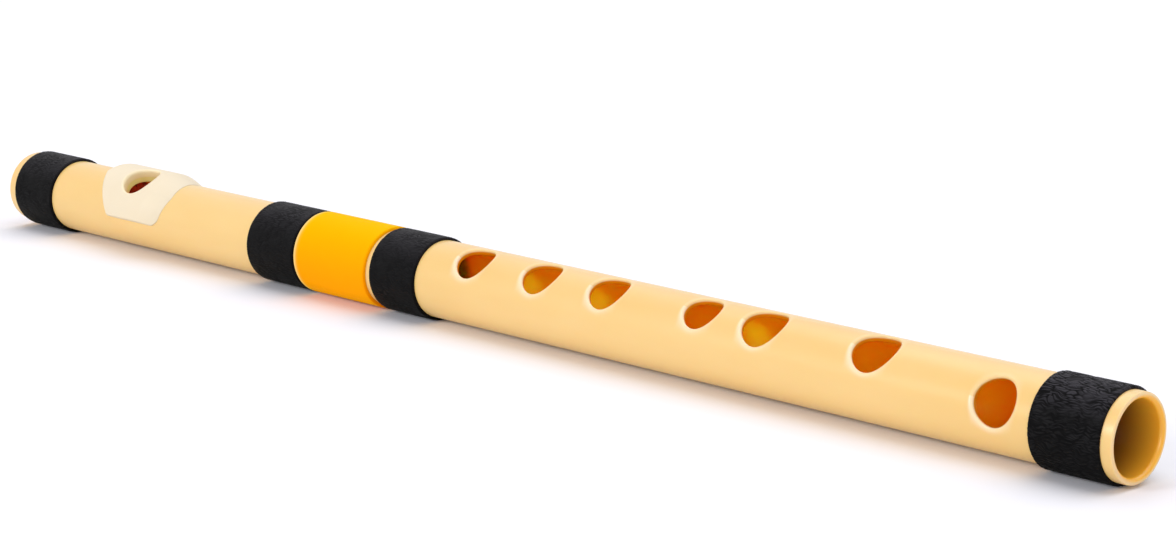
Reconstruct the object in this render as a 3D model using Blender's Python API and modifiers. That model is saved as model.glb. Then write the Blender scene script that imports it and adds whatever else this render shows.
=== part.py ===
"""Bansuri: a transverse flute of plain tube with seven finger holes, a lip plate and five wrapped bands.

Metres, +Z up. The flute lies along X on its bands, foot end toward +X, with its finger holes turned
up and toward -Y. The origin is under its middle, on the surface that it lies on.
"""

import math

import bmesh
import bpy

# Clearance that touching pieces keep
CLEARANCE = 0.0003

# Tube
TUBE_RADIUS = 0.0111
TUBE_WALL = 0.0018
TUBE_RIM_CHAMFER = 0.0003
TUBE_SIDES = 60

# Stations along the tube: each length runs from the station before it, starting at the foot end
FOOT_END_TO_SEVENTH_HOLE = 0.0346
HOLE_SPACINGS = (0.0399, 0.0365, 0.0212, 0.0340, 0.0256, 0.0264)
FIRST_HOLE_TO_BLOW_HOLE = 0.1520
BLOW_HOLE_TO_HEAD_END = 0.0639

# Holes, from the foot end to the head end
FINGER_HOLE_DIAMETERS = (0.0120, 0.0127, 0.0126, 0.0108, 0.0117, 0.0117, 0.0115)
BLOW_HOLE_DIAMETER = 0.0119
HOLE_SIDES = 40

# Turns about the tube's axis, from straight up toward -Y
FINGER_HOLE_TURN = math.radians(30.6)
SEVENTH_HOLE_TURN = math.radians(66.2)
BLOW_HOLE_TURN = math.radians(26.3)

# Wrapped bands
BAND_THICKNESS = 0.0006
BAND_SIDES = 30
FOOT_RIM = 0.0032
FOOT_BAND_WIDTH = 0.0202
FIRST_HOLE_TO_LOWER_BAND = 0.0191
LOWER_BAND_WIDTH = 0.0187
ORANGE_BAND_WIDTH = 0.0341
UPPER_BAND_WIDTH = 0.0211
HEAD_BAND_WIDTH = 0.0195
HEAD_RIM = 0.0040
ORANGE_HEAD_SIDE_GAP = 0.0006
ORANGE_FOOT_SIDE_GAP = 0.00225
ORANGE_TRIM_ANGLE = math.radians(2.6)

# Lip plate: its thickness falls to that of its edge over the three slopes
PLATE_THICKNESS = 0.0022
PLATE_EDGE_THICKNESS = 0.0004
PLATE_HALF_ANGLE = math.radians(68)
PLATE_CORNER_RADIUS = 0.0022
PLATE_FOOT_SLOPE = 0.0075
PLATE_HEAD_SLOPE = 0.0028
PLATE_END_SLOPE = 0.0014
PLATE_ROWS = 22
PLATE_COLUMNS = 6
PLATE_CORNER_ROWS = 4

# How far the lip plate runs from the blow hole's middle, at its near end, its widest turn and its far end
PLATE_FOOT_REACHES = (0.0139, 0.0177, 0.0160)
PLATE_FOOT_WIDEST_TURN = math.radians(18)
PLATE_HEAD_REACHES = (0.0103, 0.0196, 0.0181)
PLATE_HEAD_WIDEST_TURN = math.radians(0)

# Stopper in the head
STOPPER_LENGTH = 0.0220
STOPPER_FACE_TO_BLOW_HOLE = 0.0120
STOPPER_CHAMFER = 0.0006
STOPPER_SIDES = 40

# How far a cutter runs past what it cuts
CUTTER_MARGIN = 0.006

# Sizes that follow
BORE_RADIUS = TUBE_RADIUS - TUBE_WALL
BAND_INNER_RADIUS = TUBE_RADIUS + CLEARANCE
BAND_OUTER_RADIUS = BAND_INNER_RADIUS + BAND_THICKNESS
PLATE_INNER_RADIUS = TUBE_RADIUS + CLEARANCE
PLATE_OUTER_RADIUS = PLATE_INNER_RADIUS + PLATE_THICKNESS
AXIS_HEIGHT = BAND_OUTER_RADIUS
TUBE_LENGTH = (
    FOOT_END_TO_SEVENTH_HOLE + sum(HOLE_SPACINGS) + FIRST_HOLE_TO_BLOW_HOLE + BLOW_HOLE_TO_HEAD_END
)
FOOT_X = TUBE_LENGTH / 2
HEAD_X = -TUBE_LENGTH / 2
HOLE_X = [
    FOOT_X - FOOT_END_TO_SEVENTH_HOLE - sum(HOLE_SPACINGS[:count])
    for count in range(len(HOLE_SPACINGS) + 1)
]
BLOW_HOLE_X = HEAD_X + BLOW_HOLE_TO_HEAD_END


def clear_scene():
    for scene_object in list(bpy.data.objects):
        bpy.data.objects.remove(scene_object, do_unlink=True)


def add_collection(name, hidden=False):
    collection = bpy.data.collections.new(name)
    collection.hide_render = hidden
    bpy.context.scene.collection.children.link(collection)
    return collection


def add_material(name, colour, roughness, metallic=0.0):
    material = bpy.data.materials.new(name)
    material.use_nodes = True
    shader = material.node_tree.nodes["Principled BSDF"]
    shader.inputs["Base Color"].default_value = (*colour, 1.0)
    shader.inputs["Roughness"].default_value = roughness
    shader.inputs["Metallic"].default_value = metallic
    material.diffuse_color = (*colour, 1.0)
    return material


def place(obj, parent, location, rotation):
    obj.parent = parent
    obj.location = location
    obj.rotation_euler = rotation


def smooth(mesh):
    mesh.shade_smooth()
    mesh.set_sharp_from_angle(angle=math.radians(35))


def turned_object(name, profile, sides, closed):
    """A body of revolution about its own Z. The profile lists (radius, height), down the outer side.

    The profile starts half a side round, so that the body lies on the middle of a flat side.
    """
    half_side = math.pi / sides
    mesh = bpy.data.meshes.new(name)
    points = [
        (radius * math.cos(half_side), radius * math.sin(half_side), height)
        for radius, height in profile
    ]
    edges = [(index, index + 1) for index in range(len(points) - 1)]
    if closed:
        edges.append((len(points) - 1, 0))
    mesh.from_pydata(points, edges, [])
    obj = bpy.data.objects.new(name, mesh)
    screw = obj.modifiers.new("turn", "SCREW")
    screw.axis = "Z"
    screw.angle = 2 * math.pi
    screw.steps = sides
    screw.render_steps = sides
    screw.use_merge_vertices = True
    screw.merge_threshold = 0.00001
    screw.use_smooth_shade = True
    return obj


def cut(obj, cutter, name):
    boolean = obj.modifiers.new(name, "BOOLEAN")
    boolean.operation = "DIFFERENCE"
    boolean.solver = "EXACT"
    boolean.object = cutter


def make_cutter(obj, collection):
    collection.objects.link(obj)
    obj.hide_render = True
    obj.display_type = "WIRE"
    return obj


def make_hole_cutter(name, diameter, along, turn, frame, collection):
    """A drill that starts on the tube's axis and runs out through one wall."""
    reach = PLATE_OUTER_RADIUS + CUTTER_MARGIN
    mesh = bpy.data.meshes.new(name)
    drill = bmesh.new()
    bmesh.ops.create_cone(
        drill,
        cap_ends=True,
        segments=HOLE_SIDES,
        radius1=diameter / 2,
        radius2=diameter / 2,
        depth=reach,
    )
    bmesh.ops.translate(drill, verts=drill.verts, vec=(0, 0, reach / 2))
    drill.to_mesh(mesh)
    drill.free()
    cutter = make_cutter(bpy.data.objects.new(name, mesh), collection)
    place(cutter, frame, (along, 0, 0), (turn, 0, 0))
    return cutter


def make_trim_cutter(name, along, angle, frame, collection):
    """A block whose face toward the head end leans over a little toward the foot end."""
    size = 4 * (BAND_OUTER_RADIUS + CUTTER_MARGIN)
    mesh = bpy.data.meshes.new(name)
    block = bmesh.new()
    bmesh.ops.create_cube(block, size=size)
    bmesh.ops.translate(block, verts=block.verts, vec=(size / 2, 0, 0))
    block.to_mesh(mesh)
    block.free()
    cutter = make_cutter(bpy.data.objects.new(name, mesh), collection)
    place(cutter, frame, (along, 0, 0), (0, angle, 0))
    return cutter


def make_tube(frame, collection, material, hole_cutters):
    """The straight tube. Its turned profile has a small chamfer on each rim edge."""
    chamfer = TUBE_RIM_CHAMFER
    half = TUBE_LENGTH / 2
    profile = [
        (TUBE_RADIUS - chamfer, half),
        (TUBE_RADIUS, half - chamfer),
        (TUBE_RADIUS, chamfer - half),
        (TUBE_RADIUS - chamfer, -half),
        (BORE_RADIUS + chamfer, -half),
        (BORE_RADIUS, chamfer - half),
        (BORE_RADIUS, half - chamfer),
        (BORE_RADIUS + chamfer, half),
    ]
    tube = turned_object("flute_tube", profile, TUBE_SIDES, closed=True)
    tube.data.materials.append(material)
    collection.objects.link(tube)
    place(tube, frame, (0, 0, 0), (0, math.pi / 2, 0))
    for cutter in hole_cutters:
        cut(tube, cutter, cutter.name)
    return tube


def make_band(name, head_side, foot_side, frame, collection, material):
    """One wrapped band, between two places along the tube. Its sizes are those of its flat sides."""
    corner_factor = 1 / math.cos(math.pi / BAND_SIDES)
    outer = BAND_OUTER_RADIUS * corner_factor
    inner = BAND_INNER_RADIUS * corner_factor
    half = (foot_side - head_side) / 2
    profile = [(outer, half), (outer, -half), (inner, -half), (inner, half)]
    band = turned_object(name, profile, BAND_SIDES, closed=True)
    band.data.materials.append(material)
    collection.objects.link(band)
    place(band, frame, ((head_side + foot_side) / 2, 0, 0), (0, math.pi / 2, 0))
    return band


def make_bands(frame, collection, cutters, black, orange):
    foot_band_end = FOOT_X - FOOT_RIM
    lower_band_end = HOLE_X[-1] - FIRST_HOLE_TO_LOWER_BAND
    orange_band_end = lower_band_end - LOWER_BAND_WIDTH
    upper_band_end = orange_band_end - ORANGE_BAND_WIDTH
    head_band_start = HEAD_X + HEAD_RIM
    ends = {
        "foot_band": (foot_band_end - FOOT_BAND_WIDTH, foot_band_end),
        "lower_middle_band": (orange_band_end, lower_band_end),
        "upper_middle_band": (upper_band_end - UPPER_BAND_WIDTH, upper_band_end),
        "head_band": (head_band_start, head_band_start + HEAD_BAND_WIDTH),
    }
    for name, (head_side, foot_side) in ends.items():
        make_band(name, head_side, foot_side, frame, collection, black)
    orange_start = upper_band_end + ORANGE_HEAD_SIDE_GAP
    orange_band = make_band("orange_band", orange_start, orange_band_end, frame, collection, orange)
    trim = make_trim_cutter(
        "orange_trim", orange_band_end - ORANGE_FOOT_SIDE_GAP, ORANGE_TRIM_ANGLE, frame, cutters
    )
    cut(orange_band, trim, "trim")


def plate_reach(angle, reaches, widest_turn):
    """How far the plate runs at an angle, by straight lines from near end to widest turn to far end."""
    near, widest, far = reaches
    if angle > widest_turn:
        return widest + (near - widest) * (angle - widest_turn) / (PLATE_HALF_ANGLE - widest_turn)
    return widest + (far - widest) * (widest_turn - angle) / (PLATE_HALF_ANGLE + widest_turn)


def plate_rows():
    """The rows from the near end to the far end, as (angle, x at the head side, x at the foot side)."""
    corner_angle = PLATE_CORNER_RADIUS / PLATE_OUTER_RADIUS
    straight = PLATE_HALF_ANGLE - corner_angle
    insets = {}
    angles = []
    for index in range(PLATE_CORNER_ROWS):
        turn = index / PLATE_CORNER_ROWS * math.pi / 2
        angle = PLATE_HALF_ANGLE - corner_angle * (1 - math.cos(turn))
        angles.append(angle)
        insets[angle] = PLATE_CORNER_RADIUS * (1 - math.sin(turn))
    middle = [straight * (1 - 2 * index / PLATE_ROWS) for index in range(PLATE_ROWS + 1)]
    rows = []
    for angle in angles + middle + [-angle for angle in reversed(angles)]:
        inset = insets.get(abs(angle), 0)
        head_side = inset - plate_reach(angle, PLATE_HEAD_REACHES, PLATE_HEAD_WIDEST_TURN)
        foot_side = plate_reach(angle, PLATE_FOOT_REACHES, PLATE_FOOT_WIDEST_TURN) - inset
        rows.append((angle, head_side, foot_side))
    return rows


def plate_thickness(to_head_side, to_foot_side, to_end):
    """Thin at the plate's edges and full past its slopes."""
    head_share = to_head_side / PLATE_HEAD_SLOPE
    foot_share = to_foot_side / PLATE_FOOT_SLOPE
    share = min(head_share, foot_share, to_end / PLATE_END_SLOPE, 1)
    return PLATE_EDGE_THICKNESS + (PLATE_THICKNESS - PLATE_EDGE_THICKNESS) * share


def plate_places(head_side, foot_side):
    """Where the points of one row lie: at both edges, where the slopes end, and evenly between."""
    first = head_side + PLATE_HEAD_SLOPE
    last = foot_side - PLATE_FOOT_SLOPE
    even = [first + (last - first) * index / PLATE_COLUMNS for index in range(PLATE_COLUMNS + 1)]
    return [head_side, *even, foot_side]


def plate_point(solid, along, angle, radius):
    return solid.verts.new((along, -radius * math.sin(angle), radius * math.cos(angle)))


def plate_edge(sheet):
    """The points round the edge of a sheet, in order."""
    foot_side = [row[-1] for row in sheet[1:-1]]
    head_side = [row[0] for row in sheet[1:-1]]
    return sheet[0] + foot_side + sheet[-1][::-1] + head_side[::-1]


def make_lip_plate(frame, collection, material, blow_cutter):
    """The saddle round the blow hole: an outer and an inner sheet, joined round their edges."""
    mesh = bpy.data.meshes.new("lip_plate")
    solid = bmesh.new()
    outer = []
    inner = []
    for angle, head_side, foot_side in plate_rows():
        outer_row = []
        inner_row = []
        for along in plate_places(head_side, foot_side):
            to_end = (PLATE_HALF_ANGLE - abs(angle)) * PLATE_OUTER_RADIUS
            radius = PLATE_INNER_RADIUS + plate_thickness(along - head_side, foot_side - along, to_end)
            outer_row.append(plate_point(solid, along, angle, radius))
            inner_row.append(plate_point(solid, along, angle, PLATE_INNER_RADIUS))
        outer.append(outer_row)
        inner.append(inner_row)
    for sheet in (outer, inner):
        for near, far in zip(sheet, sheet[1:]):
            for index in range(len(near) - 1):
                solid.faces.new((near[index], near[index + 1], far[index + 1], far[index]))
    top = plate_edge(outer)
    foot = plate_edge(inner)
    for index in range(len(top)):
        following = (index + 1) % len(top)
        solid.faces.new((top[index], top[following], foot[following], foot[index]))
    bmesh.ops.recalc_face_normals(solid, faces=solid.faces)
    solid.to_mesh(mesh)
    solid.free()
    mesh.materials.append(material)
    plate = bpy.data.objects.new("lip_plate", mesh)
    collection.objects.link(plate)
    place(plate, frame, (BLOW_HOLE_X, 0, 0), (BLOW_HOLE_TURN, 0, 0))
    cut(plate, blow_cutter, "blow_hole")
    smooth(mesh)
    return plate


def make_stopper(frame, collection, material):
    """The cork in the head. Its origin is on the tube's axis, along which it slides."""
    radius = BORE_RADIUS - CLEARANCE
    half = STOPPER_LENGTH / 2
    profile = [
        (0, half),
        (radius - STOPPER_CHAMFER, half),
        (radius, half - STOPPER_CHAMFER),
        (radius, STOPPER_CHAMFER - half),
        (radius - STOPPER_CHAMFER, -half),
        (0, -half),
    ]
    stopper = turned_object("head_stopper", profile, STOPPER_SIDES, closed=False)
    stopper.data.materials.append(material)
    collection.objects.link(stopper)
    centre = BLOW_HOLE_X - STOPPER_FACE_TO_BLOW_HOLE - half
    place(stopper, frame, (centre, 0, 0), (0, math.pi / 2, 0))
    return stopper


def main():
    clear_scene()
    parts = add_collection("bansuri")
    cutters = add_collection("cutters", hidden=True)
    cream = add_material("cream_plastic", (0.87, 0.62, 0.30), 0.38)
    ivory = add_material("ivory_plastic", (0.92, 0.84, 0.66), 0.35)
    black = add_material("black_wrap", (0.018, 0.018, 0.018), 0.6)
    orange = add_material("orange_wrap", (1.0, 0.40, 0.005), 0.4)
    cork = add_material("cork", (0.25, 0.09, 0.04), 0.85)

    frame = bpy.data.objects.new("flute_axis", None)
    parts.objects.link(frame)
    frame.location = (0, 0, AXIS_HEIGHT)

    turns = [SEVENTH_HOLE_TURN] + [FINGER_HOLE_TURN] * len(HOLE_SPACINGS)
    hole_cutters = [
        make_hole_cutter(f"hole_{len(turns) - index}_cutter", diameter, along, turn, frame, cutters)
        for index, (diameter, along, turn) in enumerate(zip(FINGER_HOLE_DIAMETERS, HOLE_X, turns))
    ]
    blow_cutter = make_hole_cutter(
        "blow_hole_cutter", BLOW_HOLE_DIAMETER, BLOW_HOLE_X, BLOW_HOLE_TURN, frame, cutters
    )
    make_tube(frame, parts, cream, [*hole_cutters, blow_cutter])
    make_lip_plate(frame, parts, ivory, blow_cutter)
    make_bands(frame, parts, cutters, black, orange)
    make_stopper(frame, parts, cork)


main()
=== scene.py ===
"""The looks of the bansuri: a smooth moulded tube, its lip plate, grained wraps and cork, on a pale floor."""

import math

import bmesh
import bpy
from mathutils import Matrix, Vector, noise


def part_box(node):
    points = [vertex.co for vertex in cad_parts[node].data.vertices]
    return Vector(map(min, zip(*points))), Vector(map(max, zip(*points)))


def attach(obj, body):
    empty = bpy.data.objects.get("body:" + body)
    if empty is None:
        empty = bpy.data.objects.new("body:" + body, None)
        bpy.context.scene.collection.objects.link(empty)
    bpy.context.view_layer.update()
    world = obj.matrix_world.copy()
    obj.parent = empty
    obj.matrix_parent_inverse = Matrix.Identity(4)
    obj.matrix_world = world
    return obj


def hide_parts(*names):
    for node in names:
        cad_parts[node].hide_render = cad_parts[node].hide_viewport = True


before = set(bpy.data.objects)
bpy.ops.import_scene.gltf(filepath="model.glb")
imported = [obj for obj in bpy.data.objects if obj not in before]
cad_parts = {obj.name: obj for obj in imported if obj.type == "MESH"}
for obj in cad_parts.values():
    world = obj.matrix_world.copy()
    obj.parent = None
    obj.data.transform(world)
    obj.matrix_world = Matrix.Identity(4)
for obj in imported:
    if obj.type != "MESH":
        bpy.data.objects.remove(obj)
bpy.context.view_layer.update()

# Sizes in metres, as in the part's source
TUBE_RADIUS = 0.0111
TUBE_WALL = 0.0018
BORE_RADIUS = TUBE_RADIUS - TUBE_WALL
FOOT_END_TO_SEVENTH_HOLE = 0.0346
HOLE_SPACINGS = (0.0399, 0.0365, 0.0212, 0.0340, 0.0256, 0.0264)
FIRST_HOLE_TO_BLOW_HOLE = 0.1520
FINGER_HOLE_DIAMETERS = (0.0120, 0.0127, 0.0126, 0.0108, 0.0117, 0.0117, 0.0115)
BLOW_HOLE_DIAMETER = 0.0119
FINGER_HOLE_TURN = math.radians(30.6)
SEVENTH_HOLE_TURN = math.radians(66.2)
BLOW_HOLE_TURN = math.radians(26.3)
BAND_RADIUS = 0.0120
ORANGE_FOOT_SIDE_GAP = 0.00225
ORANGE_TRIM_ANGLE = math.radians(2.6)
PLATE_RADIUS = 0.0136
PLATE_EDGE_THICKNESS = 0.00014
PLATE_HALF_ANGLE = math.radians(68)
PLATE_CORNER_RADIUS = 0.0034
PLATE_FOOT_SLOPE = 0.0075
PLATE_HEAD_SLOPE = 0.0028
PLATE_END_SLOPE = 0.0014
PLATE_FOOT_REACHES = (0.0139, 0.0177, 0.0160)
PLATE_FOOT_WIDEST_TURN = math.radians(18)
PLATE_HEAD_REACHES = (0.0103, 0.0196, 0.0181)
PLATE_HEAD_WIDEST_TURN = math.radians(0)

# Places that the frame gives
TUBE_LOW, TUBE_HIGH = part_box("flute_tube")
HEAD_X = TUBE_LOW[0]
FOOT_X = TUBE_HIGH[0]
AXIS_Z = (TUBE_LOW[2] + TUBE_HIGH[2]) / 2
LOWER_BAND_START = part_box("lower_middle_band")[0][0]
WRAPS_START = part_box("upper_middle_band")[0][0]
WRAPS_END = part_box("lower_middle_band")[1][0]

# Camera, from a fit to the photograph
CAMERA_FROM_AXIS = Vector((0.60622, -0.57091, 0.19117))
CAMERA_AIM = Vector((-0.68828, 0.69112, -0.22048))
CAMERA_LENS = 93.61
CAMERA_SENSOR = 36.0

# Fineness of the meshes
TUBE_STEPS = 144
WINDOW_STEPS = 24
WINDOW_COLUMNS = 20
PATCH_LOOPS = 8
HOLE_EDGE_ROUND = 0.0009
SEAT_EDGE_ROUND = 0.00005
BORE_EDGE_ROUND = 0.0003
RIM_OUTER_ROUND = 0.0005
RIM_INNER_ROUND = 0.0013
ROUND_STEPS = 6


def around(along, turn, radius):
    """The point at a place along the tube and a turn from straight up toward -Y."""
    return (along, -radius * math.sin(turn), AXIS_Z + radius * math.cos(turn))


# Painted shade in the bore near each end of the tube.
MOUTH_SHADE_START = 0.024
MOUTH_SHADE_END = 0.040
DAYLIGHT_START = 0.001
DAYLIGHT_END = 0.012
# Painted shade in the bore under the wraps, fading over this reach past their ends.
UNDER_WRAP_SHADE_REACH = 0.004


def fall(depth, start, end):
    """1 up to a depth, 0 past another, and even between."""
    return min(1.0, max(0.0, (end - depth) / (end - start)))


class Skin:
    """Points, faces and one number for each point, gathered into one welded mesh."""

    def __init__(self):
        self.points = []
        self.faces = []
        self.values = {"rim": {}}

    def add_row(self, points, **values):
        first = len(self.points)
        self.points.extend(points)
        depth = min(FOOT_X - points[0][0], points[0][0] - HEAD_X)
        # Painted shade in the bore under the wraps.
        wrapped = fall(points[0][0], WRAPS_END, WRAPS_END + UNDER_WRAP_SHADE_REACH)
        values["wrapped"] = wrapped * fall(-points[0][0], -WRAPS_START, -WRAPS_START + UNDER_WRAP_SHADE_REACH)
        # Painted shade in the bore near each end.
        values["mouth_shade"] = fall(depth, MOUTH_SHADE_START, MOUTH_SHADE_END)
        values["daylight"] = fall(depth, DAYLIGHT_START, DAYLIGHT_END)
        for name, value in values.items():
            self.values.setdefault(name, {}).update({first + k: value for k in range(len(points))})
        return list(range(first, len(self.points)))

    def join_rows(self, rows, closed):
        for near, far in zip(rows, rows[1:]):
            count = len(near)
            for k in range(count if closed else count - 1):
                following = (k + 1) % count
                self.faces.append((near[k], near[following], far[following], far[k]))

    def make(self, name, material, weld=0.000002):
        mesh = bpy.data.meshes.new(name)
        mesh.from_pydata(self.points, [], self.faces)
        for value_name, values in self.values.items():
            attribute = mesh.attributes.new(value_name, "FLOAT", "POINT")
            for index, value in values.items():
                attribute.data[index].value = value
        work = bmesh.new()
        work.from_mesh(mesh)
        bmesh.ops.remove_doubles(work, verts=work.verts, dist=weld)
        bmesh.ops.recalc_face_normals(work, faces=work.faces)
        work.to_mesh(mesh)
        work.free()
        mesh.shade_smooth()
        mesh.materials.append(material)
        obj = bpy.data.objects.new(name, mesh)
        bpy.context.scene.collection.objects.link(obj)
        return obj


def spread(low, high, count):
    return [low + (high - low) * k / count for k in range(count + 1)]


class Hole:
    """A round hole drilled square to the tube's axis."""

    def __init__(self, along, turn, diameter, under_plate=False):
        self.under_plate = under_plate
        self.along = along
        self.turn = turn
        self.radius = diameter / 2
        self.edge_round = SEAT_EDGE_ROUND if under_plate else HOLE_EDGE_ROUND
        self.reach = diameter / 2 + 0.0026
        self.middle_step = round(turn / (2 * math.pi) * TUBE_STEPS)

    def place(self, bearing, radius, depth_radius):
        """(along, turn) of the point at a bearing on a drill of that radius, where it crosses a cylinder."""
        across = radius * math.sin(bearing)
        return self.along + radius * math.cos(bearing), self.turn + math.asin(across / depth_radius)

    def columns(self):
        return spread(self.along - self.reach, self.along + self.reach, WINDOW_COLUMNS)

    def window(self):
        """The places on the edge of the square patch of tube round the hole, in order."""
        steps = range(self.middle_step - WINDOW_STEPS, self.middle_step + WINDOW_STEPS + 1)
        turns = [2 * math.pi * step / TUBE_STEPS for step in steps]
        columns = self.columns()
        edge = [(columns[-1], turn) for turn in turns[:-1]]
        edge += [(column, turns[-1]) for column in reversed(columns[1:])]
        edge += [(columns[0], turn) for turn in reversed(turns[1:])]
        edge += [(column, turns[0]) for column in columns[:-1]]
        return edge

    def bearings(self):
        half_turn = 2 * math.pi * WINDOW_STEPS / TUBE_STEPS
        return [
            math.atan2((turn - self.turn) / half_turn, (along - self.along) / self.reach)
            for along, turn in self.window()
        ]


def finger_holes():
    turns = [SEVENTH_HOLE_TURN] + [FINGER_HOLE_TURN] * len(HOLE_SPACINGS)
    holes = []
    for index, (diameter, turn) in enumerate(zip(FINGER_HOLE_DIAMETERS, turns)):
        along = FOOT_X - FOOT_END_TO_SEVENTH_HOLE - sum(HOLE_SPACINGS[:index])
        holes.append(Hole(along, turn, diameter))
    return holes


def blow_hole():
    along = FOOT_X - FOOT_END_TO_SEVENTH_HOLE - sum(HOLE_SPACINGS) - FIRST_HOLE_TO_BLOW_HOLE
    return Hole(along, BLOW_HOLE_TURN, BLOW_HOLE_DIAMETER, under_plate=True)


WALL_SHADE_START = 0.8
# The pale ring round each hole is a painted highlight.
HIGHLIGHT_SHARE = 0.36
HIGHLIGHT_BEARING = math.radians(160)


def highlight_by_bearing(bearing):
    """How strong the painted highlight beside a hole is: most on the head side, least toward the foot and the
    viewer.
    """
    return 0.25 + 0.75 * max(0.0, math.cos((bearing - HIGHLIGHT_BEARING) / 1.6))


def add_patch(skin, hole, surface_radius, hole_radius, inside):
    """The square of tube surface round a hole, as loops from the hole's edge to the square's."""
    edge = hole.window()
    bearings = hole.bearings()
    rows = []
    for share in spread(0.0, 1.0, PATCH_LOOPS):
        row = []
        for (edge_along, edge_turn), bearing in zip(edge, bearings):
            along, turn = hole.place(bearing, hole_radius, surface_radius)
            row.append(
                around(
                    along + (edge_along - along) * share,
                    turn + (edge_turn - turn) * share,
                    surface_radius,
                )
            )
        rows.append(skin.add_row(row, inside=inside))
        for index, bearing in zip(rows[-1], bearings):
            # Painted highlight, fading out from the hole's edge.
            skin.values["rim"][index] = highlight_by_bearing(bearing) * max(0.0, 1.0 - share / HIGHLIGHT_SHARE) ** 2
    skin.join_rows(rows, closed=True)


WALL_STEPS = 4


def add_hole_wall(skin, hole):
    """The rounded outer edge, the wall and the rounded inner edge of a hole."""
    sections = []
    for bend in spread(0.0, math.pi / 2, 2 * ROUND_STEPS):
        reach = hole.radius + hole.edge_round * (1 - math.sin(bend))
        sections.append((reach, TUBE_RADIUS - hole.edge_round * (1 - math.cos(bend)), bend / (math.pi / 2)))
    wall_top = TUBE_RADIUS - hole.edge_round
    for radius in spread(wall_top, BORE_RADIUS + BORE_EDGE_ROUND, WALL_STEPS)[1:-1]:
        sections.append((hole.radius, radius, 1.0))
    for bend in spread(math.pi / 2, 0.0, ROUND_STEPS):
        reach = hole.radius + BORE_EDGE_ROUND * (1 - math.sin(bend))
        sections.append((reach, BORE_RADIUS + BORE_EDGE_ROUND * (1 - math.cos(bend)), 1.0))
    rows = []
    for radius, depth_radius, share in sections:
        row = []
        for bearing in hole.bearings():
            along, turn = hole.place(bearing, radius, depth_radius)
            row.append(around(along, turn, depth_radius))
        # Painted shade down a finger hole's wall; the blow hole's wall takes painted light instead.
        wall = 1.0 if hole.under_plate else min(1.0, max(0.0, (share - WALL_SHADE_START) / (1 - WALL_SHADE_START)))
        inside = 1.0 if depth_radius == BORE_RADIUS else 0.0
        rows.append(skin.add_row(row, inside=inside, wall=wall, lip=1.0 if hole.under_plate else 0.0))
        for index, bearing in zip(rows[-1], hole.bearings()):
            # Painted highlight on the rounded edge, gone where the wall colour takes over.
            skin.values["rim"][index] = highlight_by_bearing(bearing) * (1 - wall)
    skin.join_rows(rows, closed=True)


def add_tube_surface(skin, holes, radius, inside, start, end):
    """One cylinder of the tube, with a square patch at each hole and plain rings between."""
    turns = [2 * math.pi * step / TUBE_STEPS for step in range(TUBE_STEPS)]
    cursor = start
    stops = sorted(holes, key=lambda hole: hole.along) + [None]
    for hole in stops:
        stretch_end = end if hole is None else hole.columns()[0]
        count = max(1, round((stretch_end - cursor) / 0.004))
        rows = [
            skin.add_row([around(along, turn, radius) for turn in turns], inside=inside)
            for along in spread(cursor, stretch_end, count)
        ]
        skin.join_rows(rows, closed=True)
        if hole is None:
            break
        first = hole.middle_step + WINDOW_STEPS
        last = hole.middle_step - WINDOW_STEPS + TUBE_STEPS
        rest = [2 * math.pi * step / TUBE_STEPS for step in range(first, last + 1)]
        rows = [
            skin.add_row([around(along, turn, radius) for turn in rest], inside=inside)
            for along in hole.columns()
        ]
        skin.join_rows(rows, closed=False)
        edge_round = BORE_EDGE_ROUND if inside else hole.edge_round
        add_patch(skin, hole, radius, hole.radius + edge_round, inside)
        cursor = hole.columns()[-1]


# The bore's painted glow climbs the inner rounding of each end, farther on the +Y side.
RIM_GLOW_RISE = 3.0
RIM_GLOW_SWING = 1.6
# Painted highlight on the rounded ends of the tube.
RIM_HIGHLIGHT_SHARE = 0.5


def add_rim(skin, end, direction):
    """The rounded edge and flat face of one end of the tube."""
    turns = [2 * math.pi * step / TUBE_STEPS for step in range(TUBE_STEPS)]
    sections = []
    for bend in spread(0.0, math.pi / 2, ROUND_STEPS):
        drop = RIM_OUTER_ROUND * (1 - math.cos(bend))
        sections.append((TUBE_RADIUS - drop, RIM_OUTER_ROUND * (1 - math.sin(bend)), 0.0, math.sin(bend)))
    for bend in spread(math.pi / 2, 0.0, 2 * ROUND_STEPS):
        drop = RIM_INNER_ROUND * (1 - math.cos(bend))
        sections.append((BORE_RADIUS + drop, RIM_INNER_ROUND * (1 - math.sin(bend)), 1 - bend / (math.pi / 2), 1.0))
    rows = []
    for radius, back, inward, pale in sections:
        along = end - direction * back
        # Painted highlight over the end's rounding and face.
        rows.append(skin.add_row([around(along, turn, radius) for turn in turns], rim=RIM_HIGHLIGHT_SHARE * pale))
        for index, turn in zip(rows[-1], turns):
            # Painted glow creeping up the inner rounding, farther on the +Y side.
            rise = RIM_GLOW_RISE - RIM_GLOW_SWING * math.sin(turn)
            skin.values.setdefault("inside", {})[index] = min(1.0, rise * inward)
    skin.join_rows(rows, closed=True)


def make_tube(material):
    skin = Skin()
    holes = finger_holes() + [blow_hole()]
    add_tube_surface(skin, holes, TUBE_RADIUS, 0.0, HEAD_X + RIM_OUTER_ROUND, FOOT_X - RIM_OUTER_ROUND)
    add_tube_surface(skin, holes, BORE_RADIUS, 1.0, HEAD_X + RIM_INNER_ROUND, FOOT_X - RIM_INNER_ROUND)
    for hole in holes:
        add_hole_wall(skin, hole)
    add_rim(skin, HEAD_X, -1)
    add_rim(skin, FOOT_X, 1)
    tube = skin.make("tube_shell", material)
    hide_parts("flute_tube")
    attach(tube, "flute")
    return tube


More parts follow.
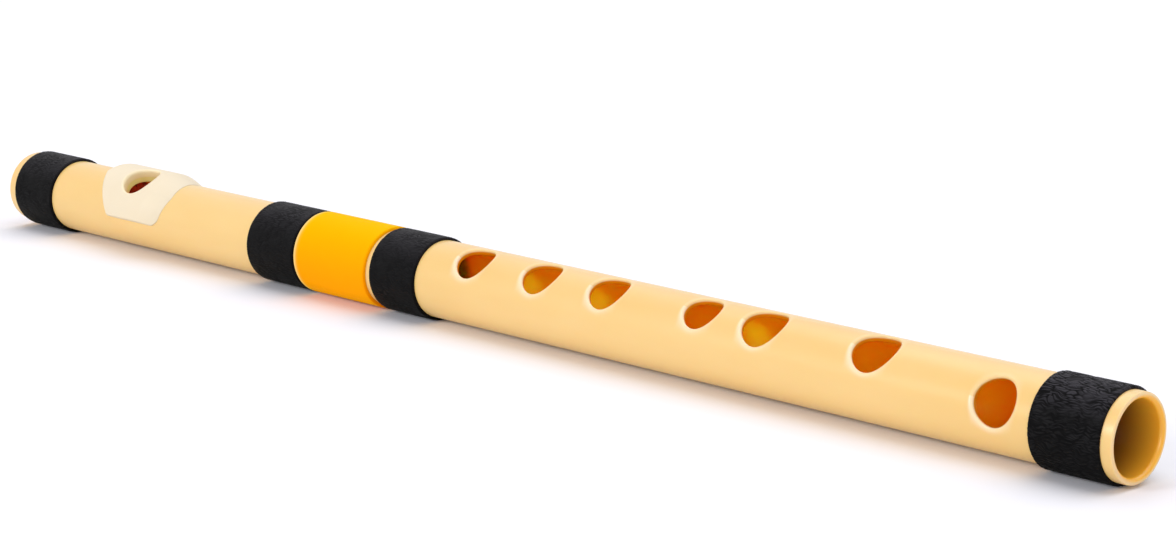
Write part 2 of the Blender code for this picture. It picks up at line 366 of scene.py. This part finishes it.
def plate_reach(angle, reaches, widest_turn):
    """How far the plate runs at an angle, by straight lines from near end to widest turn to far end."""
    near, widest, far = reaches
    if angle > widest_turn:
        return widest + (near - widest) * (angle - widest_turn) / (PLATE_HALF_ANGLE - widest_turn)
    return widest + (far - widest) * (widest_turn - angle) / (PLATE_HALF_ANGLE + widest_turn)


def plate_sides(angle):
    """Where the plate's head side and foot side are at an angle, from the blow hole's middle."""
    head_side = -plate_reach(angle, PLATE_HEAD_REACHES, PLATE_HEAD_WIDEST_TURN)
    foot_side = plate_reach(angle, PLATE_FOOT_REACHES, PLATE_FOOT_WIDEST_TURN)
    return head_side, foot_side


def plate_outline(count):
    """The lip plate's outline as (along, arc) from the blow hole's middle, at even bearings."""
    corner_angle = PLATE_CORNER_RADIUS / PLATE_RADIUS
    side = []
    for turn in spread(0.0, math.pi / 2, CORNER_STEPS):
        angle = PLATE_HALF_ANGLE - corner_angle * (1 - math.cos(turn))
        side.append((angle, PLATE_CORNER_RADIUS * (1 - math.sin(turn))))
    straight = PLATE_HALF_ANGLE - corner_angle
    middle = [(angle, 0.0) for angle in spread(straight, -straight, SIDE_STEPS)[1:-1]]
    rows = side + middle + [(-angle, inset) for angle, inset in reversed(side)]
    foot_side = [(plate_sides(angle)[1] - inset, angle * PLATE_RADIUS) for angle, inset in rows]
    head_side = [(plate_sides(angle)[0] + inset, angle * PLATE_RADIUS) for angle, inset in rows]
    polygon = foot_side[::-1] + head_side
    return [ray_to_outline(polygon, 2 * math.pi * k / count) for k in range(count)]


CREST_SOFTNESS = 0.07


def plate_radius(along, angle):
    """The plate's outer radius at a point: its slopes rise from a thin edge to a flat middle."""
    head_side, foot_side = plate_sides(angle)
    shares = (
        (along - head_side) / PLATE_HEAD_SLOPE,
        (foot_side - along) / PLATE_FOOT_SLOPE,
        (PLATE_HALF_ANGLE - abs(angle)) * PLATE_RADIUS / PLATE_END_SLOPE,
        1.0,
    )
    soft = -CREST_SOFTNESS * math.log(sum(math.exp(-share / CREST_SOFTNESS) for share in shares))
    low = TUBE_RADIUS + PLATE_EDGE_THICKNESS
    return low + (PLATE_RADIUS - low) * max(0.0, soft)


def ray_to_outline(polygon, bearing):
    """Where a ray from the blow hole's middle meets the outline."""
    ray = Vector((math.cos(bearing), math.sin(bearing)))
    best = None
    for start, end in zip(polygon, polygon[1:] + polygon[:1]):
        a = Vector(start)
        edge = Vector(end) - a
        cross = ray.x * edge.y - ray.y * edge.x
        if abs(cross) < 1e-15:
            continue
        distance = (a.x * edge.y - a.y * edge.x) / cross
        share = (a.x * ray.y - a.y * ray.x) / cross
        if distance > 0 and -1e-6 <= share <= 1 + 1e-6 and (best is None or distance > best):
            best = distance
    return ray * best


PLATE_BEARINGS = 288
PLATE_LOOPS = 30
CORNER_STEPS = 10
SIDE_STEPS = 60
PLATE_EDGE_ROUND = 0.00014
PLATE_HOLE_ROUND = 0.0009
PLATE_WALL_ROWS = 5
SEAT_RADIUS = TUBE_RADIUS - 0.00003


def make_lip_plate(material):
    """The raised plate, as loops from the blow hole over the top, round the edge and back underneath."""
    hole = blow_hole()
    outline = plate_outline(PLATE_BEARINGS)
    bearings = [2 * math.pi * k / PLATE_BEARINGS for k in range(PLATE_BEARINGS)]
    skin = Skin()

    def loop(share, inset, hole_radius, radius=None, drop=0.0, **values):
        """Points at a share of the way from the hole to the outline; on the sloped top where no radius is given."""
        row = []
        for bearing, edge in zip(bearings, outline):
            edge_point = edge * ((edge.length - inset) / edge.length)
            along, turn = hole.place(bearing, hole_radius, radius or PLATE_RADIUS)
            along += (hole.along + edge_point.x - along) * share
            turn += (hole.turn + edge_point.y / PLATE_RADIUS - turn) * share
            height = radius or plate_radius(along - hole.along, turn - hole.turn) - drop
            row.append(around(along, turn, height))
        return skin.add_row(row, **values)

    wall_top = PLATE_RADIUS - PLATE_HOLE_ROUND
    wall_heights = [SEAT_RADIUS] + spread(SEAT_RADIUS + SEAT_EDGE_ROUND, wall_top, PLATE_WALL_ROWS)
    rows = [
        # deep says how far down the wall the painted light gives way to painted shade.
        loop(0.0, 0.0, hole.radius, radius, wall=1.0, deep=(wall_top - radius) / (wall_top - SEAT_RADIUS))
        for radius in wall_heights
    ]
    for bend in spread(math.pi / 2, 0.0, ROUND_STEPS)[1:]:
        reach = hole.radius + PLATE_HOLE_ROUND * (1 - math.sin(bend))
        radius = PLATE_RADIUS - PLATE_HOLE_ROUND * (1 - math.cos(bend))
        rows.append(loop(0.0, 0.0, reach, radius, wall=math.sin(bend)))
    for share in spread(0.0, 1.0, PLATE_LOOPS)[1:]:
        rows.append(loop(share, PLATE_EDGE_ROUND, hole.radius + PLATE_HOLE_ROUND, wall=0.0))
    for bend in spread(0.0, math.pi / 2, ROUND_STEPS)[1:]:
        inset = PLATE_EDGE_ROUND * (1 - math.sin(bend))
        rows.append(loop(1.0, inset, hole.radius, drop=PLATE_EDGE_ROUND * (1 - math.cos(bend)), wall=0.0))
    for share in spread(1.0, 0.0, PLATE_LOOPS // 3):
        rows.append(loop(share, 0.0, hole.radius, SEAT_RADIUS, wall=0.0, deep=1.0))
    skin.join_rows(rows, closed=True)
    plate = skin.make("lip_plate_saddle", material)
    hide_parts("lip_plate")
    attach(plate, "flute")
    return plate


BAND_STEPS = 720
BAND_COLUMN = 0.00025
SMOOTH_BAND_COLUMN = 0.0010
BAND_EDGE_ROUND = 0.00055
EDGE_LINE_START = 0.0007
EDGE_LINE_END = 0.0016
CELL_LENGTH = 0.0030
CELL_WIDTH = 0.00050
CREASE_WIDTH = 0.36
CREASE_DEPTH = 0.00014
WARP_SIZE = 0.0030
WARP_REACH = 0.0013
BLOTCH_SIZE = 0.0045
WARP_SEED = 1


def grain(along, arc):
    """Height, 0 to 1, of the leather grain: flat-topped cells longer than wide, parted by wavy creases."""
    place = Vector((along / WARP_SIZE, arc / WARP_SIZE, 3.1))
    warp = noise.noise_vector(place) * WARP_REACH
    cell = Vector(((along + warp.x) / CELL_LENGTH, (arc + warp.y) / CELL_WIDTH, 0.5))
    nearest, second = noise.voronoi(cell)[0][:2]
    rise = min(1.0, (second - nearest) / CREASE_WIDTH)
    strength = 0.85 + 0.7 * noise.noise(Vector((along / BLOTCH_SIZE, arc / BLOTCH_SIZE, 0.4)))
    return 1 - (1 - rise) * min(1.0, max(0.0, strength))


def band_section(width, column):
    """The closed section of a band as (share of the width's straight part, distance from the nearer end, radius)."""
    rise = []
    for bend in spread(math.pi / 2, 0.0, ROUND_STEPS):
        drop = BAND_EDGE_ROUND * (1 - math.cos(bend))
        rise.append((0.0, BAND_EDGE_ROUND * (1 - math.sin(bend)), BAND_RADIUS - drop))
    count = round(width / column)
    top = [(share, BAND_EDGE_ROUND, BAND_RADIUS) for share in spread(0.0, 1.0, count)[1:-1]]
    fall = [(1.0, inset, radius) for _, inset, radius in reversed(rise)]
    return [(0.0, 0.0, SEAT_RADIUS)] + rise + top + fall + [(1.0, 0.0, SEAT_RADIUS)]


def make_band(name, node, material, grain_share, foot_end=None):
    """One wrap. Its foot side is straight unless foot_end gives that side's place for a turn."""
    low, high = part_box(node)
    skin = Skin()
    turns = [2 * math.pi * step / BAND_STEPS for step in range(BAND_STEPS)]
    rows = []
    column = BAND_COLUMN if grain_share else SMOOTH_BAND_COLUMN
    for share, inset, radius in band_section(high[0] - low[0], column):
        row = []
        drops = []
        for turn in turns:
            end = high[0] if foot_end is None else foot_end(turn)
            place = low[0] + inset + (end - low[0] - 2 * inset) * share
            drop = (1 - grain(place, turn * BAND_RADIUS)) * grain_share if grain_share else 0.0
            drops.append(drop)
            lift = drop * CREASE_DEPTH if radius > BAND_RADIUS - BAND_EDGE_ROUND else 0.0
            row.append(around(place, turn, radius - lift))
        from_head_side = row[0][0] - low[0]
        rows.append(skin.add_row(row, edge=fall(from_head_side, EDGE_LINE_START, EDGE_LINE_END)))
        for index, drop in zip(rows[-1], drops):
            skin.values.setdefault("crease", {})[index] = drop
            skin.values.setdefault("smooth", {})[index] = 1 - grain_share
    rows.append(rows[0])
    skin.join_rows(rows, closed=True)
    band = skin.make(name, material)
    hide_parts(node)
    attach(band, "flute")
    return band


def orange_foot_end(turn):
    """Where the orange wrap ends toward the foot: its cut leans, so the gap beside it is widest underneath."""
    lean = BAND_RADIUS * math.cos(turn) * math.tan(ORANGE_TRIM_ANGLE)
    return LOWER_BAND_START - ORANGE_FOOT_SIDE_GAP + lean


def new_material(name):
    material = bpy.data.materials.new(name)
    material.use_nodes = True
    nodes = material.node_tree.nodes
    links = material.node_tree.links
    return material, nodes, links, nodes["Principled BSDF"]


def add_noise(nodes, links, scale, detail, roughness=0.5, stretch=(1, 1, 1)):
    coordinates = nodes.new("ShaderNodeTexCoord")
    mapping = nodes.new("ShaderNodeMapping")
    mapping.inputs["Scale"].default_value = stretch
    texture = nodes.new("ShaderNodeTexNoise")
    texture.inputs["Scale"].default_value = scale
    texture.inputs["Detail"].default_value = detail
    texture.inputs["Roughness"].default_value = roughness
    links.new(coordinates.outputs["Object"], mapping.inputs["Vector"])
    links.new(mapping.outputs["Vector"], texture.inputs["Vector"])
    return texture.outputs["Fac"]


def mix_colours(nodes, links, share, first, second):
    mix = nodes.new("ShaderNodeMix")
    mix.data_type = "RGBA"
    for socket, value in (("Factor", share), ("A", first), ("B", second)):
        target = mix.inputs[0] if socket == "Factor" else mix.inputs[6 if socket == "A" else 7]
        if isinstance(value, (tuple, list)):
            target.default_value = (*value, 1.0)
        elif isinstance(value, (int, float)):
            target.default_value = value
        else:
            links.new(value, target)
    return mix.outputs[2]


def map_range(nodes, links, value, low, high, to_low, to_high):
    mapper = nodes.new("ShaderNodeMapRange")
    mapper.inputs["From Min"].default_value = low
    mapper.inputs["From Max"].default_value = high
    mapper.inputs["To Min"].default_value = to_low
    mapper.inputs["To Max"].default_value = to_high
    links.new(value, mapper.inputs["Value"])
    return mapper.outputs["Result"]


def add_bump(nodes, links, shader, height, strength, distance):
    bump = nodes.new("ShaderNodeBump")
    bump.inputs["Strength"].default_value = strength
    bump.inputs["Distance"].default_value = distance
    links.new(height, bump.inputs["Height"])
    links.new(bump.outputs["Normal"], shader.inputs["Normal"])


def upward(nodes, links):
    """0 on the wraps' undersides to 1 on their tops."""
    coordinates = nodes.new("ShaderNodeTexCoord")
    parts = nodes.new("ShaderNodeSeparateXYZ")
    links.new(coordinates.outputs["Object"], parts.inputs["Vector"])
    return map_range(nodes, links, parts.outputs["Z"], AXIS_Z - BAND_RADIUS, AXIS_Z + BAND_RADIUS, 0, 1)


def attribute(nodes, name):
    node = nodes.new("ShaderNodeAttribute")
    node.attribute_name = name
    return node.outputs["Fac"]


BODY_COLOURS = (0.88, 0.555, 0.198), (0.895, 0.585, 0.228)
PAINTED_HIGHLIGHT_COLOUR = (1.0, 0.76, 0.52)
# The finger holes' walls are the same cream plastic; this darker orange is painted shade.
WALL_SHADE_COLOUR = (0.86, 0.27, 0.003)
# Painted light on the blow hole's wall in the tube.
LIP_WALL_LIGHT_COLOUR = (1.0, 0.78, 0.30)
# The bore is the same cream plastic; this deeper orange is painted glow of the light that comes through the wall.
BORE_GLOW_COLOUR = (1.0, 0.65, 0.006)
# Painted shade for the bore under the wraps.
UNDER_WRAP_SHADE_COLOUR = (1.0, 0.34, 0.004)
# Painted shade for the bore near each end.
MOUTH_SHADE_COLOUR = (0.12, 0.033, 0.004)
DAYLIGHT_COLOUR = (1.0, 0.48, 0.032)
LIGHT_DEPTH = 0.0125
LIGHT_DEPTHS = (1.0, 0.06, 0.015)
OUTSIDE_DEPTH_SHARE = 0.1


def cream_plastic():
    material, nodes, links, shader = new_material("cream_plastic")
    clouds = add_noise(nodes, links, 60, 3, stretch=(0.35, 1, 1))
    body = mix_colours(nodes, links, map_range(nodes, links, clouds, 0.35, 0.65, 0, 1), *BODY_COLOURS)
    # Painted highlight round the holes and on the tube's end rims.
    highlighted = mix_colours(
        nodes, links, map_range(nodes, links, attribute(nodes, "rim"), 0, 1, 0, 0.8), body, PAINTED_HIGHLIGHT_COLOUR
    )
    wall = mix_colours(nodes, links, attribute(nodes, "lip"), WALL_SHADE_COLOUR, LIP_WALL_LIGHT_COLOUR)
    walled = mix_colours(nodes, links, attribute(nodes, "wall"), highlighted, wall)
    # Painted shade in the bore under the wraps.
    bare = mix_colours(nodes, links, attribute(nodes, "wrapped"), BORE_GLOW_COLOUR, UNDER_WRAP_SHADE_COLOUR)
    # Painted shade in the bore near each end.
    deep = mix_colours(nodes, links, attribute(nodes, "mouth_shade"), bare, MOUTH_SHADE_COLOUR)
    bore = mix_colours(nodes, links, attribute(nodes, "daylight"), deep, DAYLIGHT_COLOUR)
    colour = mix_colours(nodes, links, attribute(nodes, "inside"), walled, bore)
    links.new(colour, shader.inputs["Base Color"])
    fine = add_noise(nodes, links, 900, 4, stretch=(0.2, 1, 1))
    links.new(map_range(nodes, links, fine, 0.3, 0.7, 0.30, 0.38), shader.inputs["Roughness"])
    deep_inside = nodes.new("ShaderNodeMath")
    deep_inside.operation = "SUBTRACT"
    deep_inside.use_clamp = True
    links.new(attribute(nodes, "inside"), deep_inside.inputs[0])
    links.new(attribute(nodes, "mouth_shade"), deep_inside.inputs[1])
    weight = map_range(nodes, links, deep_inside.outputs[0], 0, 1, OUTSIDE_DEPTH_SHARE, 1)
    links.new(weight, shader.inputs["Subsurface Weight"])
    shader.inputs["Subsurface Radius"].default_value = LIGHT_DEPTHS
    shader.inputs["Subsurface Scale"].default_value = LIGHT_DEPTH
    shader.inputs["Coat Weight"].default_value = 0.3
    shader.inputs["Coat Roughness"].default_value = 0.25
    add_bump(nodes, links, shader, fine, 0.05, 0.0001)
    return material


PLATE_COLOURS = (0.82, 0.695, 0.51), (0.84, 0.73, 0.56)
# Painted light on the blow hole's wall in the plate, more golden and dimmer deeper down.
PLATE_WALL_LIGHT_COLOUR = (1.0, 0.84, 0.55)
PLATE_DEEP_SHADE_COLOUR = (1.0, 0.76, 0.40)
PLATE_LIGHT_DEPTH = 0.0035
PLATE_LIGHT_DEPTHS = (1.0, 0.9, 0.7)


def ivory_plastic():
    material, nodes, links, shader = new_material("ivory_plastic")
    in_hole = attribute(nodes, "wall")
    clouds = add_noise(nodes, links, 90, 3)
    body = mix_colours(nodes, links, clouds, *PLATE_COLOURS)
    # Painted light on the hole's wall, shading deeper down.
    wall = mix_colours(nodes, links, attribute(nodes, "deep"), PLATE_WALL_LIGHT_COLOUR, PLATE_DEEP_SHADE_COLOUR)
    colour = mix_colours(nodes, links, in_hole, body, wall)
    links.new(colour, shader.inputs["Base Color"])
    shader.inputs["Roughness"].default_value = 0.55
    links.new(map_range(nodes, links, in_hole, 0, 1, 0.1, 0.05), shader.inputs["Subsurface Weight"])
    shader.inputs["Subsurface Radius"].default_value = PLATE_LIGHT_DEPTHS
    shader.inputs["Subsurface Scale"].default_value = PLATE_LIGHT_DEPTH
    fine = add_noise(nodes, links, 700, 4)
    add_bump(nodes, links, shader, fine, 0.05, 0.0001)
    return material


WRAP_COLOURS = (0.0046, 0.0044, 0.0049), (0.0112, 0.0108, 0.0120)
SPECK_COLOUR = (0.0060, 0.0057, 0.0064)
# Painted shade in the grain's creases; also the darker tone of the less grained wraps.
CREASE_SHADE_COLOUR = (0.0024, 0.0023, 0.0027)
# Painted shade: the wraps darker toward their undersides.
UNDERSIDE_SHADE_COLOUR = (0.0045, 0.0044, 0.0048)
UNDERSIDE_SHADE_SHARE = 0.8
UNDERSIDE_SHADE_START = 0.48
UNDERSIDE_SHADE_END = 0.18
# Painted sheen: the wraps turn paler toward their tops.
TOP_SHEEN_START = 0.72
TOP_SHEEN_COLOUR = (0.0460, 0.0430, 0.0520)
SMOOTH_SHADE = 1.5


def black_wrap():
    material, nodes, links, shader = new_material("black_wrap")
    weave = add_noise(nodes, links, 1500, 6, 0.6, stretch=(0.35, 1, 1))
    blotches = add_noise(nodes, links, 300, 4, 0.6)
    creases = attribute(nodes, "crease")
    plain = mix_colours(nodes, links, map_range(nodes, links, blotches, 0.36, 0.60, 0, 1), *WRAP_COLOURS)
    specked = mix_colours(nodes, links, map_range(nodes, links, weave, 0.45, 0.75, 0, 0.5), plain, SPECK_COLOUR)
    # Painted sheen on the wraps' tops.
    top_sheen = map_range(nodes, links, upward(nodes, links), TOP_SHEEN_START, 1, 0, 1)
    sheened = mix_colours(nodes, links, top_sheen, specked, TOP_SHEEN_COLOUR)
    # Painted shade in the creases.
    creased = mix_colours(nodes, links, map_range(nodes, links, creases, 0.05, 0.7, 0, 1), sheened, CREASE_SHADE_COLOUR)
    # Painted shade on the wraps' undersides.
    under_shade = map_range(nodes, links, upward(nodes, links), UNDERSIDE_SHADE_END, UNDERSIDE_SHADE_START, UNDERSIDE_SHADE_SHARE, 0)
    shaded = mix_colours(nodes, links, under_shade, creased, UNDERSIDE_SHADE_COLOUR)
    smooth = map_range(nodes, links, attribute(nodes, "smooth"), 0, 1, 0, SMOOTH_SHADE)
    colour = mix_colours(nodes, links, smooth, shaded, CREASE_SHADE_COLOUR)
    links.new(colour, shader.inputs["Base Color"])
    links.new(map_range(nodes, links, creases, 0.1, 0.7, 0.45, 0.7), shader.inputs["Roughness"])
    shader.inputs["Specular IOR Level"].default_value = 0.05
    add_bump(nodes, links, shader, weave, 0.5, 0.0002)
    return material


# Painted light and shade: the orange wrap is yellower on top and deeper orange underneath.
TAPE_SHADED_COLOURS = (1.0, 0.190, 0.0), (1.0, 0.210, 0.0)
TAPE_LIT_COLOURS = (1.0, 0.40, 0.0), (1.0, 0.43, 0.0)
TAPE_EDGE_COLOUR = (1.0, 0.62, 0.28)


def orange_wrap():
    material, nodes, links, shader = new_material("orange_wrap")
    clouds = add_noise(nodes, links, 120, 3)
    low = mix_colours(nodes, links, clouds, *TAPE_SHADED_COLOURS)
    high = mix_colours(nodes, links, clouds, *TAPE_LIT_COLOURS)
    # Painted light on top, painted shade underneath.
    body = mix_colours(nodes, links, upward(nodes, links), low, high)
    colour = mix_colours(nodes, links, attribute(nodes, "edge"), body, TAPE_EDGE_COLOUR)
    links.new(colour, shader.inputs["Base Color"])
    shader.inputs["Roughness"].default_value = 0.5
    shader.inputs["IOR"].default_value = 1.1
    shader.inputs["Specular IOR Level"].default_value = 0.3
    shader.inputs["Sheen Weight"].default_value = 0.6
    shader.inputs["Sheen Roughness"].default_value = 0.7
    shader.inputs["Sheen Tint"].default_value = (1.0, 0.85, 0.0, 1)
    fine = add_noise(nodes, links, 1200, 3)
    add_bump(nodes, links, shader, fine, 0.08, 0.0001)
    return material


CORK_COLOURS = (0.62, 0.042, 0.014), (0.95, 0.090, 0.034)
CORK_PORE_COLOUR = (0.30, 0.03, 0.012)


def cork():
    material, nodes, links, shader = new_material("cork")
    spots = add_noise(nodes, links, 900, 8, 0.7)
    body = mix_colours(nodes, links, map_range(nodes, links, spots, 0.35, 0.65, 0, 1), *CORK_COLOURS)
    colour = mix_colours(nodes, links, attribute(nodes, "pore"), body, CORK_PORE_COLOUR)
    links.new(colour, shader.inputs["Base Color"])
    shader.inputs["Roughness"].default_value = 0.85
    add_bump(nodes, links, shader, spots, 0.6, 0.0004)
    return material


STOPPER_CLEARANCE = 0.0001
STOPPER_CHAMFER = 0.0006
STOPPER_STEPS = 160
CORK_STEP = 0.0004
CORK_PORE_SIZE = 0.0016
CORK_PORE_DEPTH = 0.00035


def cork_pore(along, turn, radius):
    """How deep the cork is pitted at a point, in metres."""
    place = Vector((along, radius * math.cos(turn), radius * math.sin(turn))) / CORK_PORE_SIZE
    coarse = max(0.0, noise.noise(place) - 0.18)
    fine = max(0.0, noise.noise(place * 2.7) - 0.30)
    return CORK_PORE_DEPTH * min(1.0, 2.2 * coarse + fine)


def make_stopper(material):
    """The cork, as rings from the middle of one end face over the side to the middle of the other."""
    low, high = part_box("head_stopper")
    radius = BORE_RADIUS - STOPPER_CLEARANCE
    face = radius - STOPPER_CHAMFER
    turns = [2 * math.pi * step / STOPPER_STEPS for step in range(STOPPER_STEPS)]
    faces = spread(CORK_STEP, face, round(face / CORK_STEP))
    sides = spread(low[0] + STOPPER_CHAMFER, high[0] - STOPPER_CHAMFER, round((high[0] - low[0]) / CORK_STEP))
    profile = [(low[0], size, 1, 0) for size in faces]
    profile += [(along, radius, 0, -1) for along in sides]
    profile += [(high[0], size, -1, 0) for size in reversed(faces)]
    skin = Skin()
    rows = []
    for along, size, push_along, push_out in profile:
        row = []
        pits = []
        for turn in turns:
            pit = cork_pore(along, turn, size)
            pits.append(pit / CORK_PORE_DEPTH)
            row.append(around(along + push_along * pit, turn, size + push_out * pit))
        rows.append(skin.add_row(row))
        for index, pit in zip(rows[-1], pits):
            skin.values.setdefault("pore", {})[index] = pit
    skin.join_rows(rows, closed=True)
    skin.faces.append(tuple(rows[0]))
    skin.faces.append(tuple(rows[-1]))
    stopper = skin.make("head_cork", material)
    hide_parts("head_stopper")
    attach(stopper, "stopper")
    return stopper


def make_camera():
    camera_data = bpy.data.cameras.new("camera")
    camera = bpy.data.objects.new("camera", camera_data)
    bpy.context.scene.collection.objects.link(camera)
    camera_data.lens = CAMERA_LENS
    camera_data.sensor_width = CAMERA_SENSOR
    camera_data.sensor_fit = "HORIZONTAL"
    camera.location = Vector((0, 0, AXIS_Z)) + CAMERA_FROM_AXIS
    camera.rotation_euler = CAMERA_AIM.to_track_quat("-Z", "Y").to_euler()
    camera_data.clip_start = 0.05
    camera_data.clip_end = 50
    bpy.context.scene.camera = camera


FLOOR_COLOUR = 0.92
FLOOR_SEEN_COLOUR = (0.98, 0.98, 1.05)


def make_floor():
    bpy.ops.mesh.primitive_plane_add(size=60, location=(0, 0, 0))
    floor = bpy.context.object
    floor.name = "floor"
    material = bpy.data.materials.new("floor")
    material.use_nodes = True
    nodes = material.node_tree.nodes
    links = material.node_tree.links
    nodes.remove(nodes["Principled BSDF"])
    matt = nodes.new("ShaderNodeBsdfDiffuse")
    seen = add_light_path(nodes, links, "Is Camera Ray")
    colour = mix_colours(nodes, links, seen, (FLOOR_COLOUR,) * 3, FLOOR_SEEN_COLOUR)
    links.new(colour, matt.inputs["Color"])
    links.new(matt.outputs["BSDF"], nodes["Material Output"].inputs["Surface"])
    floor.data.materials.append(material)


KEY_LIGHT_FROM = Vector((-0.30, -0.80, 0.36))
KEY_LIGHT_STRENGTH = 1.05
KEY_LIGHT_ANGLE = math.radians(19)
FILL_LIGHT_FROM = Vector((0.60, -0.62, 0.22))
FILL_LIGHT_STRENGTH = 0.66
FILL_LIGHT_ANGLE = math.radians(24)
TOP_LIGHT_FROM = Vector((0.0, 0.32, 1.0))
TOP_LIGHT_STRENGTH = 1.75
TOP_LIGHT_ANGLE = math.radians(80)
DOME_STRENGTH = 0.36
DOME_SEEN = 1.0


def add_light_path(nodes, links, *outputs):
    """One for a ray of any of the named kinds, and nought for the rest."""
    path = nodes.new("ShaderNodeLightPath")
    total = path.outputs[outputs[0]]
    for output in outputs[1:]:
        larger = nodes.new("ShaderNodeMath")
        larger.operation = "MAXIMUM"
        links.new(total, larger.inputs[0])
        links.new(path.outputs[output], larger.inputs[1])
        total = larger.outputs[0]
    return total


def make_world():
    world = bpy.data.worlds.new("studio")
    bpy.context.scene.world = world
    world.use_nodes = True
    nodes = world.node_tree.nodes
    links = world.node_tree.links
    background = nodes["Background"]
    background.inputs["Color"].default_value = (1, 1, 1, 1)
    seen = add_light_path(nodes, links, "Is Camera Ray", "Is Glossy Ray", "Is Transmission Ray")
    level = map_range(nodes, links, seen, 0, 1, DOME_STRENGTH, DOME_SEEN)
    links.new(level, background.inputs["Strength"])


def make_soft_light(name, source, strength, angle):
    lamp_data = bpy.data.lights.new(name, "SUN")
    lamp_data.energy = strength
    lamp_data.angle = angle
    lamp = bpy.data.objects.new(name, lamp_data)
    bpy.context.scene.collection.objects.link(lamp)
    lamp.location = source
    lamp.rotation_euler = (-source).to_track_quat("-Z", "Y").to_euler()


def main():
    noise.seed_set(WARP_SEED)
    cream = cream_plastic()
    ivory = ivory_plastic()
    black = black_wrap()
    orange = orange_wrap()
    make_tube(cream)
    make_lip_plate(ivory)
    make_band("head_wrap", "head_band", black, grain_share=0.6)
    make_band("upper_middle_wrap", "upper_middle_band", black, grain_share=0.6)
    make_band("lower_middle_wrap", "lower_middle_band", black, grain_share=0.6)
    make_band("foot_wrap", "foot_band", black, grain_share=1.0)
    make_band("orange_wrap", "orange_band", orange, grain_share=0.0, foot_end=orange_foot_end)
    make_stopper(cork())
    make_floor()
    make_world()
    make_soft_light("key", KEY_LIGHT_FROM, KEY_LIGHT_STRENGTH, KEY_LIGHT_ANGLE)
    make_soft_light("fill", FILL_LIGHT_FROM, FILL_LIGHT_STRENGTH, FILL_LIGHT_ANGLE)
    make_soft_light("top", TOP_LIGHT_FROM, TOP_LIGHT_STRENGTH, TOP_LIGHT_ANGLE)
    make_camera()
    bpy.context.scene.view_settings.view_transform = "Standard"


main()
